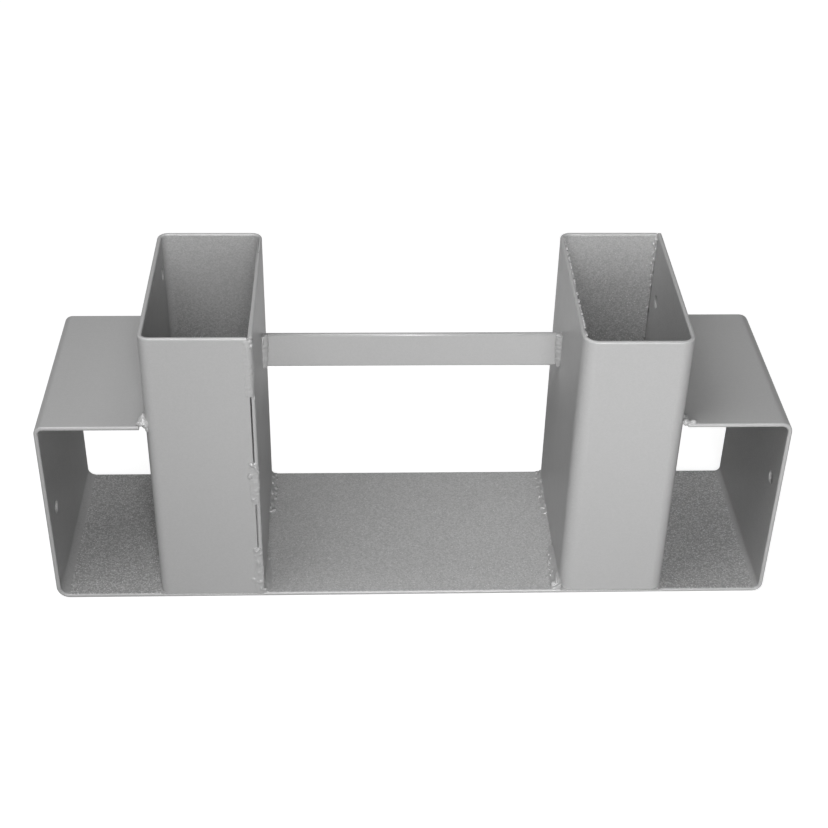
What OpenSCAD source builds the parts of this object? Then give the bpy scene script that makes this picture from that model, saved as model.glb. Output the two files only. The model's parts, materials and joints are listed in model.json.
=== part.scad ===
// Log rack bracket. One folded base strip carries two folded sheet uprights,
// and a flat bar ties the uprights together. Timber rails lie in the sleeve at
// each end of the strip, and timber posts stand in the uprights.
// Units are millimetres. X runs along the strip, the front faces -Y, and the
// base plate lies on Z = 0 with the origin under its middle.

/* [Sheet] */
// Thickness of the sheet that the strip and the uprights are folded from
sheet_t = 2; // [1.2:0.1:3]
// Inside radius of the bends in the uprights
upright_bend_r = 3; // [1:0.5:5]
// Inside radius of the bends in the base strip
strip_bend_r = 1.5; // [0.5:0.5:4]

/* [Uprights] */
// Room inside an upright, along the strip
socket_w = 45.5; // [40:0.5:60]
// Room inside an upright, from front to back
socket_d = 91.5; // [80:0.5:110]
// Height of an upright above the base plate
upright_h = 144; // [136:1:200]
// Free width between the two uprights
bay_w = 142.5; // [100:0.5:240]
// Width of the slit along the open seam of an upright
seam_gap = 0.5; // [0.2:0.1:1]
// How much lower the right upright is sawn off at its front than at its back
saw_drop = 2.5; // [0:0.1:6]

/* [Sleeves] */
// Room inside a sleeve, along the strip
sleeve_w = 47.25; // [40:0.25:60]
// Room inside a sleeve, from the base plate up to the tab
sleeve_h = 96; // [90:0.5:120]
// Gap between the end of a tab and the wall of its upright
tab_gap = 1; // [0.3:0.1:2]

/* [Cross bar] */
// Thickness of the bar
bar_t = 2.5; // [2:0.1:5]
// Height of the bar
bar_h = 18; // [12:0.5:24]
// Radius along the long edges of the bar
bar_edge_r = 0.5; // [0.2:0.1:0.8]
// Clear height under the bar, above the base plate
bar_lift = 90; // [50:0.5:100]
// Distance from the middle of the bracket back to the front face of the bar
bar_back = 13; // [-20:0.5:30]

/* [Screw holes] */
// Diameter of every screw hole
screw_d = 5.5; // [3:0.1:8]
// Left end wall hole, in from the front edge
left_end_hole_in = 15; // [10:0.5:80]
// Left end wall hole, above the floor
left_end_hole_z = 43.5; // [20:0.5:80]
// Right end wall hole, in from the front edge
right_end_hole_in = 12; // [10:0.5:80]
// Right end wall hole, above the floor
right_end_hole_z = 60.5; // [20:0.5:80]
// Left upright hole, in from the back face
left_hole_in = 10; // [10:0.5:80]
// Left upright hole, down from the rim
left_hole_down = 17; // [10:0.5:30]
// Right upright hole, in from the back face
right_hole_in = 15; // [10:0.5:80]
// Right upright hole, down from the rim
right_hole_down = 30; // [10:0.5:32]

/* [Welds] */
// Width of a stitch along a seam
seam_bead_w = 4.6; // [3:0.1:6]
// Height of a stitch above the face it lies on
seam_bead_h = 1.1; // [0.5:0.1:2]
// Length of the stitch at the top of a seam
top_stitch = 29; // [15:1:34]
// Length of the stitch in the middle of a seam
mid_stitch = 24; // [10:1:30]
// Height of the lower end of the middle stitch above the base plate
mid_stitch_lift = 54; // [40:1:64]
// Length of the stitch at the foot of a seam
foot_stitch = 28; // [15:1:34]
// Leg of the fillets between an upright and the base plate
base_leg = 3.8; // [2:0.1:5]
// Length of the left fillet at the back
left_back_fillet = 33; // [15:1:40]
// Length of the left fillet at the front
left_front_fillet = 26; // [15:1:40]
// Length of the right fillet at the back
right_back_fillet = 36; // [15:1:40]
// Length of the right fillet at the front
right_front_fillet = 32; // [15:1:40]
// Leg of the fillets at the ends of the bar
bar_leg = 3.4; // [2:0.1:4]
// Leg of the tack between a tab and its upright
tab_leg = 3; // [2:0.1:4]
// Length of that tack
tab_tack = 11; // [6:0.5:16]
// Distance from one weld ripple to the next
ripple_pitch = 2.4; // [1.5:0.1:4]
// Height of a ripple, as a share of the bead
ripple_rise = 0.22; // [0:0.02:0.4]

/* [Hidden] */
$fn = 64;

// Overshoot of every cutting solid past the face that it cuts
cut = 1;
// Steps round the crown of a bead, and steps in the length of one ripple
crown_steps = 5;
ripple_steps = 2;
// Size of a bead at its very end, as a share of its full size
bead_end = 0.45;
// Length over which a bead swells from its end to its full size
bead_taper = 3;
// Crown of a fillet above the straight line between its toes, as a share of its leg
fillet_crown = 0.16;
// How far a seam stitch stays back from the corner and from the rim
bead_inset = 0.1;
rim_inset = 1.2;
// How far a fillet stays back from the front or back edge of the strip
edge_inset = 0.6;
// Clearance of a tack from the round corner of the upright
tack_clear = 0.06;
// How deep a tack sinks into the gap at the end of the tab
tack_sink = 1.4;

depth = socket_d + 2 * sheet_t;
half_d = depth / 2;
upright_w = socket_w + 2 * sheet_t;
upright_r = upright_bend_r + sheet_t;
strip_r = strip_bend_r + sheet_t;
bay_x = bay_w / 2;
upright_x = bay_x + upright_w / 2;
outer_x = bay_x + upright_w;
half_l = outer_x + sleeve_w + sheet_t;
tab_z = sheet_t + sleeve_h + sheet_t;
rim_z = sheet_t + upright_h;
bar_z = sheet_t + bar_lift;
seam_x = socket_w / 2 + sheet_t;

// Rectangle about the origin with round corners
module round_rect(w, h, r) {
    square([w - 2 * r, h], center = true);
    square([w, h - 2 * r], center = true);
    for (sx = [-1, 1], sy = [-1, 1])
        translate([sx * (w / 2 - r), sy * (h / 2 - r)]) circle(r);
}

// The same with the corner at +x, -y left square, where the seam is
module seam_rect(w, h, r) {
    round_rect(w, h, r);
    translate([w / 2 - 2 * r, -h / 2]) square(2 * r);
}

// Side view of the folded strip: plate, end walls and the two tabs
module strip_section() {
    difference() {
        translate([0, tab_z / 2]) round_rect(2 * half_l, tab_z, strip_r);
        translate([0, tab_z / 2])
            round_rect(2 * (half_l - sheet_t), tab_z - 2 * sheet_t, strip_bend_r);
        translate([-(outer_x + tab_gap), tab_z - sheet_t - cut])
            square([2 * (outer_x + tab_gap), sheet_t + 2 * cut]);
    }
}

module base_strip() {
    color([0.62, 0.62, 0.62])
        difference() {
            rotate([90, 0, 0])
                linear_extrude(depth, center = true) strip_section();
            translate([-half_l, -half_d + left_end_hole_in, left_end_hole_z])
                wall_hole();
            translate([half_l, -half_d + right_end_hole_in, right_end_hole_z])
                wall_hole();
        }
}

// Screw hole through one wall that stands across X at the origin
module wall_hole() {
    rotate([0, 90, 0])
        cylinder(d = screw_d, h = 2 * (sheet_t + cut), center = true, $fn = 48);
}

// Plan of a folded upright. The front panel stops short of the +x wall by the
// slit, and the sheet edge of that wall shows in the front face.
module upright_section() {
    difference() {
        seam_rect(upright_w, depth, upright_r);
        seam_rect(socket_w, socket_d, upright_bend_r);
        translate([socket_w / 2 - seam_gap, -half_d - cut])
            square([seam_gap, sheet_t + 2 * cut]);
    }
}

module upright_tube() {
    translate([0, 0, sheet_t]) linear_extrude(upright_h) upright_section();
}

module left_upright() {
    color([0.7, 0.7, 0.7])
        difference() {
            translate([-upright_x, 0, 0]) upright_tube();
            translate([-outer_x, half_d - left_hole_in, rim_z - left_hole_down])
                wall_hole();
        }
}

module right_upright() {
    color([0.75, 0.75, 0.75])
        difference() {
            translate([upright_x, 0, 0]) mirror([0, 1, 0]) upright_tube();
            translate([outer_x, half_d - right_hole_in, rim_z - right_hole_down])
                wall_hole();
            saw_wedge();
        }
}

// What the saw takes off the right upright: nothing at the back, most in front
module saw_wedge() {
    slope = saw_drop / depth;
    translate([bay_x - cut, 0, rim_z])
        rotate([90, 0, 90])
            linear_extrude(upright_w + 2 * cut)
                polygon([
                    [half_d + cut, slope * cut],
                    [-half_d - cut, -saw_drop - slope * cut],
                    [-half_d - cut, saw_drop + cut],
                    [half_d + cut, saw_drop + cut]
                ]);
}

module cross_bar() {
    color([0.72, 0.72, 0.72])
        translate([0, bar_back + bar_t / 2, bar_z + bar_h / 2])
            rotate([90, 0, 90])
                linear_extrude(bay_w, center = true)
                    round_rect(bar_t, bar_h, bar_edge_r);
}

// Count of steps along a run: a whole number of ripples
function bead_steps(run) = ripple_steps * max(2, round(run / ripple_pitch));

// Size of a bead at step i of n along a run, as a share of its full size
function bead_share(i, n, run) =
    let (reach = min(1, min(i, n - i) * run / n / bead_taper))
    (bead_end + (1 - bead_end) * sqrt(reach))
    * (1 - ripple_rise + ripple_rise * abs(sin(180 * i / ripple_steps)));

// Section of a fillet in the corner between the planes x = 0 and y = 0
function fillet_section(leg_x, leg_y) =
    let (bulge = fillet_crown * (leg_x + leg_y) / 2)
    concat([[0, 0]], [
        for (i = [0:crown_steps])
            let (t = i / crown_steps, lift = bulge * sin(180 * t))
            [leg_x * (1 - t) + lift, leg_y * t + lift]
    ]);

// Section of a stitch on the plane y = 0, with a root that fills the slit
function stitch_section(share) =
    let (
        high = seam_x - bead_inset,
        low = high - seam_bead_w * (1 + share) / 2,
        mid = (low + high) / 2,
        reach = (high - low) / 2
    )
    concat([
        for (i = [0:crown_steps])
            let (a = 180 * i / crown_steps)
            [mid + reach * cos(a), seam_bead_h * share * sin(a)]
    ], [
        [socket_w / 2 - seam_gap, 0],
        [socket_w / 2 - seam_gap, -sheet_t],
        [socket_w / 2, -sheet_t],
        [socket_w / 2, 0]
    ]);

// Triangles that close the end of a plain section, as a fan from its corner
plain_cap = [for (j = [1:crown_steps]) [0, j, j + 1]];

// Triangles that close the end of a section with a root: a fan from a point on
// the crown, then the two halves of the root
root_0 = crown_steps + 1;
rooted_cap = concat(
    [for (j = [3:crown_steps]) [2, j, j + 1]],
    [
        [2, root_0, root_0 + 3],
        [2, root_0 + 3, 0],
        [2, 0, 1],
        [root_0, root_0 + 1, root_0 + 2],
        [root_0, root_0 + 2, root_0 + 3]
    ]
);

// Solid through a list of sections, each with the same count of points in the
// same order, counter-clockwise when seen from the far end of the run
module loft(sections, cap) {
    m = len(sections[0]);
    last = (len(sections) - 1) * m;
    points = [for (s = sections) for (p = s) p];
    sides = [
        for (i = [0:len(sections) - 2]) for (j = [0:m - 1])
            let (a = i * m + j, b = i * m + (j + 1) % m)
            for (f = [[a, a + m, b], [b, a + m, b + m]]) f
    ];
    far_cap = [for (f = cap) [f[2] + last, f[1] + last, f[0] + last]];
    polyhedron(points = points, faces = concat(sides, cap, far_cap));
}

// Fillet that runs along +z in the corner between the planes x = 0 and y = 0
module fillet(run, leg_x, leg_y) {
    n = bead_steps(run);
    loft([
        for (i = [0:n])
            let (k = bead_share(i, n, run))
            [for (p = fillet_section(leg_x * k, leg_y * k)) [p[0], p[1], run * i / n]]
    ], plain_cap);
}

// Seam stitch on the plane y = 0, raised towards +y and running along +z
module stitch(run) {
    n = bead_steps(run);
    loft([
        for (i = [0:n])
            [for (p = stitch_section(bead_share(i, n, run))) [p[0], p[1], run * i / n]]
    ], rooted_cap);
}

// The three stitches of one upright, in the place of the tube that they close
module seam_stitch(which) {
    top_end = rim_z - rim_inset;
    spans = [
        [top_end - top_stitch, top_stitch],
        [sheet_t + mid_stitch_lift, mid_stitch],
        [sheet_t, foot_stitch]
    ];
    color([0.8, 0.8, 0.8])
        translate([0, half_d, spans[which][0]]) stitch(spans[which][1]);
}

module left_stitch(which) {
    translate([-upright_x, 0, 0]) mirror([0, 1, 0]) seam_stitch(which);
}

module right_stitch(which) {
    translate([upright_x, 0, 0]) seam_stitch(which);
}

// Fillet between the inner wall of an upright and the plate, from y_back forwards
module base_fillet(side, y_back, run) {
    color([0.66, 0.66, 0.66])
        mirror([side > 0 ? 1 : 0, 0, 0])
            translate([-bay_x, y_back, sheet_t])
                rotate([90, 0, 0]) fillet(run, base_leg, base_leg);
}

// Fillet between the inner wall of an upright and the front face of the bar
module bar_fillet(side) {
    color([0.68, 0.68, 0.68])
        mirror([side > 0 ? 1 : 0, 0, 0])
            translate([-bay_x, bar_back, bar_z])
                mirror([0, 1, 0]) fillet(bar_h, bar_leg, bar_leg);
}

// How far the outer face of an upright lies inside its flat at distance s from
// the front, because of the round corner
function corner_fall(s) =
    s >= upright_r ? 0 : upright_r - sqrt(upright_r * upright_r - pow(upright_r - s, 2));

// Section of a tack at distance s from the front, with its root in the tab gap.
// The wall stands at x = 0, the tab's upper face lies at y = 0.
function tack_section(s, share) =
    let (
        wall = -corner_fall(s) + tack_clear,
        toe = tab_gap + tab_leg * share,
        top = tab_leg * share
    )
    concat([
        for (i = [0:crown_steps])
            let (t = i / crown_steps, lift = fillet_crown * tab_leg * share * sin(180 * t))
            [toe + (wall - toe) * t + lift, top * t + lift]
    ], [
        [wall, 0],
        [wall, -tack_sink],
        [tab_gap, -tack_sink],
        [tab_gap, 0]
    ]);

module tab_tack_at(side) {
    n = bead_steps(tab_tack);
    start = upright_r / 2;
    color([0.85, 0.85, 0.85])
        mirror([side < 0 ? 1 : 0, 0, 0])
            translate([outer_x, -half_d, tab_z])
                rotate([90, 0, 0])
                    mirror([0, 0, 1])
                        loft([
                            for (i = [0:n])
                                let (s = start + tab_tack * i / n, k = bead_share(i, n, tab_tack))
                                [for (p = tack_section(s, k)) [p[0], p[1], s]]
                        ], rooted_cap);
}

base_strip();
left_upright();
right_upright();
cross_bar();
left_stitch(0);  // left_seam_weld_top
left_stitch(1);  // left_seam_weld_middle
left_stitch(2);  // left_seam_weld_foot
right_stitch(0);  // right_seam_weld_top
right_stitch(1);  // right_seam_weld_middle
right_stitch(2);  // right_seam_weld_foot
base_fillet(-1, -half_d + edge_inset + left_front_fillet, left_front_fillet);  // left_base_weld_front
base_fillet(-1, half_d - edge_inset, left_back_fillet);  // left_base_weld_back
base_fillet(1, -half_d + edge_inset + right_front_fillet, right_front_fillet);  // right_base_weld_front
base_fillet(1, half_d - edge_inset, right_back_fillet);  // right_base_weld_back
bar_fillet(-1);  // left_bar_weld
bar_fillet(1);  // right_bar_weld
tab_tack_at(-1);  // left_tab_weld
tab_tack_at(1);  // right_tab_weld
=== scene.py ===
"""Looks of a log rack bracket: folded sheet, a flat bar and weld beads under one grey powder coat.

Everything is in metres in the bracket's own frame: X runs along the strip, the front faces -Y, Z is
up, and the base plate lies on Z = 0.
"""
import json
import logging
import math
import random
from dataclasses import dataclass, field
from enum import Enum

import bmesh
import bpy
from bmesh.types import BMEdge, BMesh, BMFace, BMVert
from bpy.types import Material, Node, NodeSocket, Object, ShaderNodeTree
from mathutils import Matrix, Vector, noise


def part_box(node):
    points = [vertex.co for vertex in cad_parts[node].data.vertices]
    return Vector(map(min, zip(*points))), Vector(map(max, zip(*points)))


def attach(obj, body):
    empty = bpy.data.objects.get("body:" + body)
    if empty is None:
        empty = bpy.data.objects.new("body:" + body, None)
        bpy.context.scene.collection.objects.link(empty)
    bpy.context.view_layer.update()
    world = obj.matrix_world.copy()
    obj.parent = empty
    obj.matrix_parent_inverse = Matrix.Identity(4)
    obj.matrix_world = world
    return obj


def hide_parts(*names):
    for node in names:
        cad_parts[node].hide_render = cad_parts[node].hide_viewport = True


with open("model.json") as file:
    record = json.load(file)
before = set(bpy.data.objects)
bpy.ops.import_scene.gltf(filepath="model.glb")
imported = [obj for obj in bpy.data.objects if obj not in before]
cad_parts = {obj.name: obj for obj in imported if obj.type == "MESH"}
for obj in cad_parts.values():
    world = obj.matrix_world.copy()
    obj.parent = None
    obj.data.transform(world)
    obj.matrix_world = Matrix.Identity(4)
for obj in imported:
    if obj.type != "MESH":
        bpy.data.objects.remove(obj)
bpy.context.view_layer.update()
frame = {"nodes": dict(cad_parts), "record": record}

MM = 0.001
ACROSS = Vector((1.0, 0.0, 0.0))
BACK = Vector((0.0, 1.0, 0.0))
UP = Vector((0.0, 0.0, 1.0))
SANDY = "sandy"
FLAT_WEIGHT = 80
LOG = logging.getLogger("bracket")
Pair = tuple[float, float]


class Side(Enum):
    """One end of the bracket, by the sign of its X."""

    LEFT = -1
    RIGHT = 1

    @property
    def word(self) -> str:
        """The side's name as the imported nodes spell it."""
        return self.name.lower()


class Slot(Enum):
    """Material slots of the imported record."""

    SHEET = "sheet_coat"
    WELD = "weld_coat"


@dataclass(frozen=True)
class Sizes:
    """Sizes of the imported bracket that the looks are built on, in metres."""

    half_l: float
    half_d: float
    sheet: float
    tab_z: float
    tab_end: float
    rim_z: float
    saw_drop: float
    outer_x: float
    bay_x: float

    @classmethod
    def read(cls) -> "Sizes":
        """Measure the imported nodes."""
        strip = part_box("base_strip")[1]
        low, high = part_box("left_upright")
        sheet = low.z
        sawn = [v.co for v in frame["nodes"]["right_upright"].data.vertices if v.co.y < low.y + MM / 10]
        tab = [v.co for v in frame["nodes"]["base_strip"].data.vertices if v.co.z > strip.z - sheet / 2]
        return cls(
            half_l=strip.x,
            half_d=strip.y,
            sheet=sheet,
            tab_z=strip.z,
            tab_end=min(co.x for co in tab if co.x > 0),
            rim_z=high.z,
            saw_drop=high.z - max(co.z for co in sawn),
            outer_x=-low.x,
            bay_x=-high.x,
        )


def node_group(name: str, inputs: dict[str, str], outputs: dict[str, str]) -> ShaderNodeTree:
    """Start a shader node group.

    Args:
        name: Name of the group.
        inputs: Socket name to socket type.
        outputs: Socket name to socket type.

    Returns:
        The group, with its two end nodes placed.
    """
    group = bpy.data.node_groups.new(name, "ShaderNodeTree")
    for in_out, sockets in (("INPUT", inputs), ("OUTPUT", outputs)):
        for socket, kind in sockets.items():
            group.interface.new_socket(name=socket, in_out=in_out, socket_type=kind)
    group.nodes.new("NodeGroupInput")
    group.nodes.new("NodeGroupOutput")
    return group


def span_node(tree: ShaderNodeTree, value: NodeSocket, old: Pair,
              new: Pair) -> NodeSocket:
    """Map one range of values onto another.

    Args:
        tree: Tree to add the node to.
        value: Socket with the value.
        old: Range that it comes from.
        new: Range that it is put on.

    Returns:
        The mapped value.
    """
    ramp = tree.nodes.new("ShaderNodeMapRange")
    names = ("From Min", "From Max", "To Min", "To Max")
    for name, number in zip(names, (*old, *new)):
        ramp.inputs[name].default_value = number
    tree.links.new(value, ramp.inputs["Value"])
    return ramp.outputs["Result"]


def math_node(tree: ShaderNodeTree, kind: str, *values: NodeSocket | float) -> NodeSocket:
    """Add a math node.

    Args:
        tree: Tree to add it to.
        kind: Its operation.
        values: Sockets or numbers that it works on.

    Returns:
        Its result.
    """
    node = tree.nodes.new("ShaderNodeMath")
    node.operation = kind
    for value, socket in zip(values, node.inputs):
        if isinstance(value, float):
            socket.default_value = value
        else:
            tree.links.new(value, socket)
    return node.outputs["Value"]


@dataclass(frozen=True)
class CoatGrain:
    """Grain of a sprayed and baked coat: orange peel, waves, flakes, and grit where it is sandy."""

    peel_size: float = 0.8 * MM
    wave_size: float = 9.0 * MM
    flake_size: float = 0.55 * MM
    grit_size: float = 1.0 * MM
    wave_share: float = 0.35
    calm: float = 0.2
    grit_height: float = 1.6

    def group(self) -> ShaderNodeTree:
        """Build the node group.

        Returns:
            A group that takes a place and a sand mask, and puts out a height, a shade between dark
            and light, and a cloud mask.
        """
        tree = node_group(
            "coat_grain",
            {"Place": "NodeSocketVector", "Sand": "NodeSocketFloat"},
            {"Height": "NodeSocketFloat", "Shade": "NodeSocketFloat", "Clouds": "NodeSocketFloat"},
        )
        source, sink = tree.nodes["Group Input"], tree.nodes["Group Output"]
        sand = source.outputs["Sand"]
        peel = self.noise(tree, source, self.peel_size, 2.0)
        wave = self.noise(tree, source, self.wave_size, 1.0)
        flakes, _ = self.cells(tree, source, self.flake_size)
        chance, distance = self.cells(tree, source, self.grit_size)
        dome = span_node(tree, distance, (0.08, 0.42), (1.0, 0.0))
        picked = span_node(tree, chance, (0.3, 0.95), (0.0, 1.0))
        grit = math_node(tree, "MULTIPLY", math_node(tree, "MULTIPLY", dome, picked), sand)
        even = tree.nodes.new("ShaderNodeMix")
        even.inputs["Factor"].default_value = self.wave_share
        tree.links.new(peel.outputs["Fac"], even.inputs["A"])
        tree.links.new(wave.outputs["Fac"], even.inputs["B"])
        raised = math_node(tree, "MULTIPLY", grit, self.grit_height)
        height = math_node(tree, "ADD", even.outputs["Result"], raised)
        swing = math_node(tree, "SUBTRACT", flakes, 0.5)
        reach = span_node(tree, sand, (0.0, 4.0), (0.06, 1.58))
        shade = math_node(tree, "ADD", math_node(tree, "MULTIPLY", swing, reach), self.calm)
        speck = math_node(tree, "MULTIPLY", math_node(tree, "POWER", grit, 2.0), 0.8)
        tree.links.new(height, sink.inputs["Height"])
        tree.links.new(math_node(tree, "ADD", shade, speck), sink.inputs["Shade"])
        tree.links.new(wave.outputs["Fac"], sink.inputs["Clouds"])
        return tree

    @staticmethod
    def noise(tree: ShaderNodeTree, source: Node, size: float, detail: float) -> Node:
        """Add a noise texture whose features are about `size` metres across."""
        texture = tree.nodes.new("ShaderNodeTexNoise")
        texture.inputs["Scale"].default_value = 1.0 / size
        texture.inputs["Detail"].default_value = detail
        tree.links.new(source.outputs["Place"], texture.inputs["Vector"])
        return texture

    @staticmethod
    def cells(tree: ShaderNodeTree, source: Node, size: float) -> tuple[NodeSocket, NodeSocket]:
        """Add cells about `size` metres wide: a chance per cell, and the distance to its middle."""
        texture = tree.nodes.new("ShaderNodeTexVoronoi")
        texture.inputs["Scale"].default_value = 1.0 / size
        tree.links.new(source.outputs["Place"], texture.inputs["Vector"])
        split = tree.nodes.new("ShaderNodeSeparateColor")
        tree.links.new(texture.outputs["Color"], split.inputs["Color"])
        return split.outputs["Red"], texture.outputs["Distance"]


@dataclass(frozen=True)
class PowderCoat:
    """A satin grey powder coat."""

    name: str
    dark: float
    light: float
    ior: float
    smooth: float
    rough: float
    peel_depth: float

    def material(self, grain: ShaderNodeTree) -> Material:
        """Build the material.

        Args:
            grain: The shared grain group.

        Returns:
            The finished material.
        """
        made = bpy.data.materials.new(self.name)
        made.use_nodes = True
        tree = made.node_tree
        coat = tree.nodes["Principled BSDF"]
        place = tree.nodes.new("ShaderNodeTexCoord")
        effect = tree.nodes.new("ShaderNodeGroup")
        effect.node_tree = grain
        tree.links.new(place.outputs["Object"], effect.inputs["Place"])
        sandy = tree.nodes.new("ShaderNodeAttribute")
        sandy.attribute_name = SANDY
        tree.links.new(sandy.outputs["Fac"], effect.inputs["Sand"])
        shade = tree.nodes.new("ShaderNodeMix")
        shade.data_type = "RGBA"
        colours = [s for s in shade.inputs if s.type == "RGBA"]
        for colour, level in zip(colours, (self.dark, self.light)):
            colour.default_value = (level, level, level, 1.0)
        tree.links.new(effect.outputs["Shade"], shade.inputs["Factor"])
        result = next(s for s in shade.outputs if s.type == "RGBA")
        tree.links.new(result, coat.inputs["Base Color"])
        gloss = span_node(tree, effect.outputs["Clouds"], (0.0, 1.0), (self.smooth, self.rough))
        tree.links.new(gloss, coat.inputs["Roughness"])
        bump = tree.nodes.new("ShaderNodeBump")
        bump.inputs["Distance"].default_value = self.peel_depth
        tree.links.new(effect.outputs["Height"], bump.inputs["Height"])
        tree.links.new(bump.outputs["Normal"], coat.inputs["Normal"])
        coat.inputs["IOR"].default_value = self.ior
        made.diffuse_color = (self.light, self.light, self.light, 1.0)
        return made


@dataclass(frozen=True)
class Finishes:
    """The coats of the whole bracket."""

    sheet: Material
    weld: Material

    @classmethod
    def mix(cls) -> "Finishes":
        """Build both coats around one shared grain."""
        grain = CoatGrain().group()
        sheet = PowderCoat("sheet_coat", 0.35, 0.73, 1.75, 0.31, 0.39, 0.06 * MM)
        weld = PowderCoat("weld_coat", 0.35, 0.73, 1.9, 0.27, 0.33, 0.07 * MM)
        return cls(sheet.material(grain), weld.material(grain))


def finish_piece(bm: BMesh, name: str, node: str, coat: Material, slot: Slot) -> Object:
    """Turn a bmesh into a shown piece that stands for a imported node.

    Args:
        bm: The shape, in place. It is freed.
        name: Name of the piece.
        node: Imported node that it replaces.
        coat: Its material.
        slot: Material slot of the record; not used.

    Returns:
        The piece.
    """
    mesh = bpy.data.meshes.new(name)
    bmesh.ops.recalc_face_normals(bm, faces=bm.faces[:])
    for face in bm.faces:
        face.smooth = True
    bm.to_mesh(mesh)
    bm.free()
    mesh.materials.append(coat)
    piece = bpy.data.objects.new(name, mesh)
    bpy.context.scene.collection.objects.link(piece)
    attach(piece, "root")
    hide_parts(node)
    LOG.info("%s: %d faces", name, len(mesh.polygons))
    return piece


def middle(edge: BMEdge) -> Vector:
    """Middle of an edge."""
    return (edge.verts[0].co + edge.verts[1].co) / 2


def round_edges(bm: BMesh, edges: list[BMEdge], radius: float, steps: int, profile: float = 0.5) -> None:
    """Round edges to a radius.

    Args:
        bm: The shape.
        edges: Its edges to round.
        radius: Radius on a right-angled corner.
        steps: Count of flats across the round.
        profile: 0.5 for a true arc, less for a flatter one.
    """
    bmesh.ops.bevel(bm, geom=edges, offset=radius, offset_type="OFFSET", segments=steps,
                    profile=profile, affect="EDGES", material=-1)


def split(bm: BMesh, at: Vector, away: Vector) -> None:
    """Split every face that crosses the plane through a point, square to a way."""
    bmesh.ops.bisect_plane(bm, geom=bm.verts[:] + bm.edges[:] + bm.faces[:], plane_co=at, plane_no=away)


def keep_flat(piece: Object) -> bpy.types.WeightedNormalModifier:
    """Keep a piece's flats flat up to their rounded edges, by weighing normals by area."""
    even = piece.modifiers.new("flat_faces", "WEIGHTED_NORMAL")
    even.weight = FLAT_WEIGHT
    return even


@dataclass
class SheetPiece:
    """Sheet metal that is cut, folded, punched and eased at its edges."""

    sizes: Sizes
    coat: Material
    fold_steps: int = 14
    rim_r: float = 0.88 * MM
    end_r: float = 0.4 * MM
    edge_steps: int = 5
    sharp: float = math.radians(60)
    near: float = 0.1 * MM
    holes: list[tuple[Vector, float]] = field(default_factory=list)

    def fold(self, chain: list[Vector], run: Vector, radii: list[float]) -> BMesh:
        """Fold the outer face of a sheet.

        Args:
            chain: Corners of the outer face, seen along the folds.
            run: Vector from one end of the folds to the other.
            radii: Outside radius of each fold, in the chain's order.

        Returns:
            The face without a thickness.
        """
        bm = bmesh.new()
        corners = [bm.verts.new(point) for point in chain]
        flats = [bm.edges.new(pair) for pair in zip(corners, corners[1:])]
        drawn = bmesh.ops.extrude_edge_only(bm, edges=flats)["geom"]
        bmesh.ops.translate(bm, verts=[g for g in drawn if isinstance(g, BMVert)], vec=run)
        for corner, radius in zip(chain[1:-1], radii):
            fold = min(bm.edges, key=lambda e: (middle(e) - corner - run / 2).length)
            round_edges(bm, [fold], radius, self.fold_steps)
        return bm

    def thicken(self, bm: BMesh) -> None:
        """Give a folded face the thickness of the sheet, inwards."""
        bmesh.ops.solidify(bm, geom=bm.faces[:], thickness=self.sizes.sheet)
        bmesh.ops.recalc_face_normals(bm, faces=bm.faces[:])

    def punch(self, bm: BMesh, at: Vector, radius: float, sides: int = 48) -> None:
        """Cut a round hole in a wall that stands across X.

        Args:
            bm: A folded face without a thickness.
            at: Middle of the hole, within a sheet of the wall.
            radius: Radius of the hole.
            sides: Count of sides of the hole.
        """
        wall = min(self.wall_faces(bm, at), key=lambda f: (f.calc_center_median() - at).length)
        place = Matrix.Translation((wall.calc_center_median().x, at.y, at.z))
        border = wall.edges[:]
        bmesh.ops.delete(bm, geom=[wall], context="FACES_ONLY")
        ring = bmesh.ops.create_circle(bm, cap_ends=False, radius=radius, segments=sides,
                                       matrix=place @ Matrix.Rotation(math.pi / 2, 4, "Y"))
        rim = list({e for v in ring["verts"] for e in v.link_edges})
        bmesh.ops.triangle_fill(bm, use_beauty=True, edges=border + rim)

    def wall_faces(self, bm: BMesh, at: Vector) -> list[BMFace]:
        """Faces of the flat wall across X that lies within a sheet's thickness of a point."""
        return [f for f in bm.faces if abs(f.normal.x) > 0.999
                and abs(f.calc_center_median().x - at.x) < self.sizes.sheet]

    def ease(self, bm: BMesh) -> None:
        """Round the sheared edges of the sheet: the long ones fully, then the ends and holes."""
        turns = ((self.rim_r, self.is_rim), (self.rim_r, self.is_hole), (self.end_r, self.is_end))
        for radius, pick in turns:
            edges = [e for e in bm.edges if e.calc_face_angle(0.0) > self.sharp and pick(e)]
            round_edges(bm, edges, radius, self.edge_steps)

    def is_rim(self, edge: BMEdge) -> bool:
        """Whether an edge runs along a fully rounded rim."""
        raise NotImplementedError

    def is_hole(self, edge: BMEdge) -> bool:
        """Whether an edge is part of the rim of a punched hole."""
        return any(max(abs((v.co - at).yz.length - radius) for v in edge.verts) < self.near
                   and abs(middle(edge).x - at.x) < 2.0 * self.sizes.sheet for at, radius in self.holes)

    def is_end(self, edge: BMEdge) -> bool:
        """Whether an edge stands at an end of the sheet."""
        raise NotImplementedError

    def sand(self, at: Vector) -> float:
        """How sandy the coat is at a place: more where the spray hardly reached.

        Args:
            at: Place on the sheet.

        Returns:
            0 for a smooth coat, and up to about 4.
        """
        raise NotImplementedError

    def show(self, bm: BMesh, name: str, node: str) -> Object:
        """Finish the sheet with normals that keep its flats flat."""
        sandy = bm.verts.layers.float.new(SANDY)
        for vert in bm.verts:
            vert[sandy] = self.sand(vert.co)
        for edge in bm.edges:
            edge.smooth = edge.calc_face_angle(0.0) < self.sharp
        piece = finish_piece(bm, name, node, self.coat, Slot.SHEET)
        keep_flat(piece).keep_sharp = True
        return piece


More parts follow.
